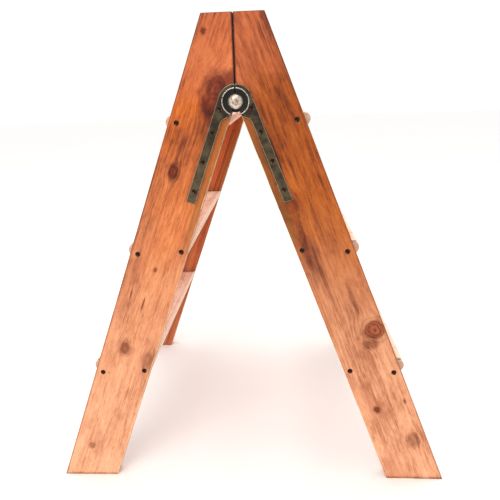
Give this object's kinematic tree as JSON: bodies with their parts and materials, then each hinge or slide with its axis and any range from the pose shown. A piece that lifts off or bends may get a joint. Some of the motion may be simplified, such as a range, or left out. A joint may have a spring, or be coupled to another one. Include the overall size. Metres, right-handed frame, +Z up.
{
  "type": "folding step ladder",
  "caption": "Double-sided folding wooden step ladder: two frames of wide side boards and level treads, joined at the top by iron strap hinges, standing open as an A.",
  "frame": {"origin": "On the floor, under the middle of the open ladder.", "axes": "+Z up; X across the spread of the legs, +X towards the right-hand frame; Y along the treads, -Y towards the front pair of side boards."},
  "size_m": [0.7626, 0.569, 0.9],
  "materials": {
    "side_board_wood": "stained and waxed pine, orange-brown, satin",
    "tread_wood": "stained pine, paler and pinker on the worn treads, satin",
    "hinge_iron": "blackened olive-grey iron with light worn edges",
    "bolt_steel": "bright domed head",
    "screw_iron": "dark countersunk screws"
  },
  "bodies": {
    "left_frame": {"hinge_bolt_front": "bolt_steel", "hinge_bolt_rear": "bolt_steel", "hinge_leaf_front_left": "hinge_iron", "hinge_leaf_rear_left": "hinge_iron", "hinge_nut_front": "bolt_steel", "hinge_nut_rear": "bolt_steel", "hinge_washer_front": "bolt_steel", "hinge_washer_rear": "bolt_steel", "stile_front_left": "side_board_wood", "stile_rear_left": "side_board_wood", "strap_screw_front_left_1": "screw_iron", "strap_screw_front_left_2": "screw_iron", "strap_screw_front_left_3": "screw_iron", "strap_screw_front_left_4": "screw_iron", "strap_screw_rear_left_1": "screw_iron", "strap_screw_rear_left_2": "screw_iron", "strap_screw_rear_left_3": "screw_iron", "strap_screw_rear_left_4": "screw_iron", "tread_left_bottom": "tread_wood", "tread_left_middle": "tread_wood", "tread_left_top": "tread_wood", "tread_screw_front_left_bottom_inner": "screw_iron", "tread_screw_front_left_bottom_outer": "screw_iron", "tread_screw_front_left_middle_inner": "screw_iron", "tread_screw_front_left_middle_outer": "screw_iron", "tread_screw_front_left_top_outer": "screw_iron", "tread_screw_rear_left_bottom_inner": "screw_iron", "tread_screw_rear_left_bottom_outer": "screw_iron", "tread_screw_rear_left_middle_inner": "screw_iron", "tread_screw_rear_left_middle_outer": "screw_iron", "tread_screw_rear_left_top_outer": "screw_iron"},
    "right_frame": {"hinge_leaf_front_right": "hinge_iron", "hinge_leaf_rear_right": "hinge_iron", "stile_front_right": "side_board_wood", "stile_rear_right": "side_board_wood", "strap_screw_front_right_1": "screw_iron", "strap_screw_front_right_2": "screw_iron", "strap_screw_front_right_3": "screw_iron", "strap_screw_front_right_4": "screw_iron", "strap_screw_rear_right_1": "screw_iron", "strap_screw_rear_right_2": "screw_iron", "strap_screw_rear_right_3": "screw_iron", "strap_screw_rear_right_4": "screw_iron", "tread_right_bottom": "tread_wood", "tread_right_middle": "tread_wood", "tread_right_top": "tread_wood", "tread_screw_front_right_bottom_inner": "screw_iron", "tread_screw_front_right_bottom_outer": "screw_iron", "tread_screw_front_right_middle_inner": "screw_iron", "tread_screw_front_right_middle_outer": "screw_iron", "tread_screw_front_right_top_outer": "screw_iron", "tread_screw_rear_right_bottom_inner": "screw_iron", "tread_screw_rear_right_bottom_outer": "screw_iron", "tread_screw_rear_right_middle_inner": "screw_iron", "tread_screw_rear_right_middle_outer": "screw_iron", "tread_screw_rear_right_top_outer": "screw_iron"}
  },
  "joints": [
    {"name": "frame_fold", "type": "hinge", "parent": "left_frame", "child": "right_frame", "pos_m": [0, 0, 0.7495], "axis": [0, 1, 0], "range_deg": [0, 39]}
  ]
}
